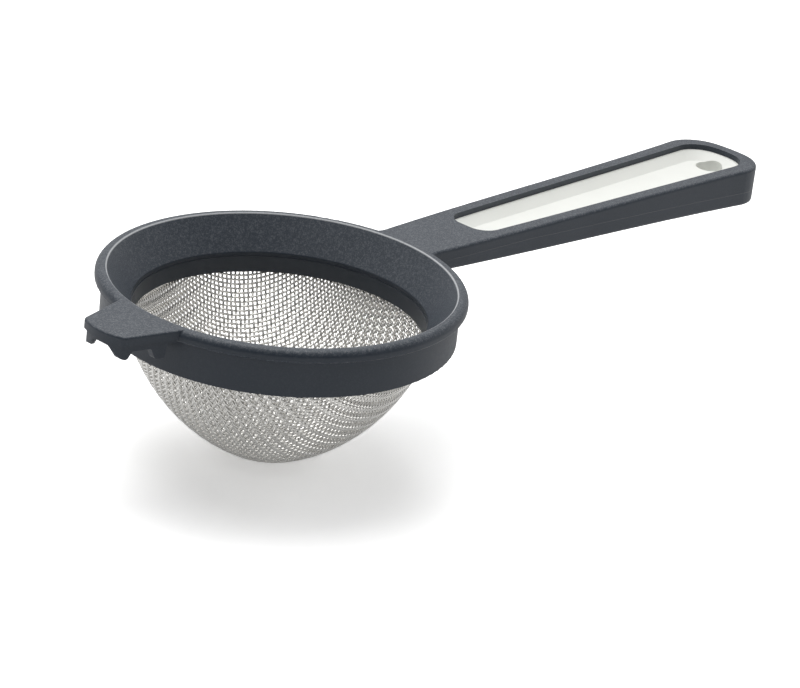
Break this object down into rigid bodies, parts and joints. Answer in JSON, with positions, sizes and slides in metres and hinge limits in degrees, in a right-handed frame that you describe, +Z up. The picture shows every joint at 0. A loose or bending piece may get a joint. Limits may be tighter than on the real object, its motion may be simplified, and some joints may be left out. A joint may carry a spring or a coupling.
{
  "type": "tea strainer",
  "caption": "Long-handled tea strainer: woven wire bowl in a dark plastic ring with a skirt, a walled rest hook and a loop handle holding a pale trough insert with a hanging hole",
  "frame": {"origin": "on the axis of the ring, in the plane where the flange meets the skirt and a cup's rim bears", "axes": "+Z up, +X along the handle, rest hook towards -X, symmetric about the XZ plane"},
  "size_m": [0.2096, 0.0804, 0.0418],
  "materials": {
    "dark_plastic": "fine spark-eroded texture",
    "dark_band": "smooth satin",
    "wire_cloth": "bright drawn wire, twill weave",
    "pale_plastic": "smooth satin"
  },
  "bodies": {
    "root": {"frame": "dark_plastic", "clamp_ring": "dark_band", "mesh_bowl": "wire_cloth", "handle_insert": "pale_plastic"}
  },
  "joints": []
}
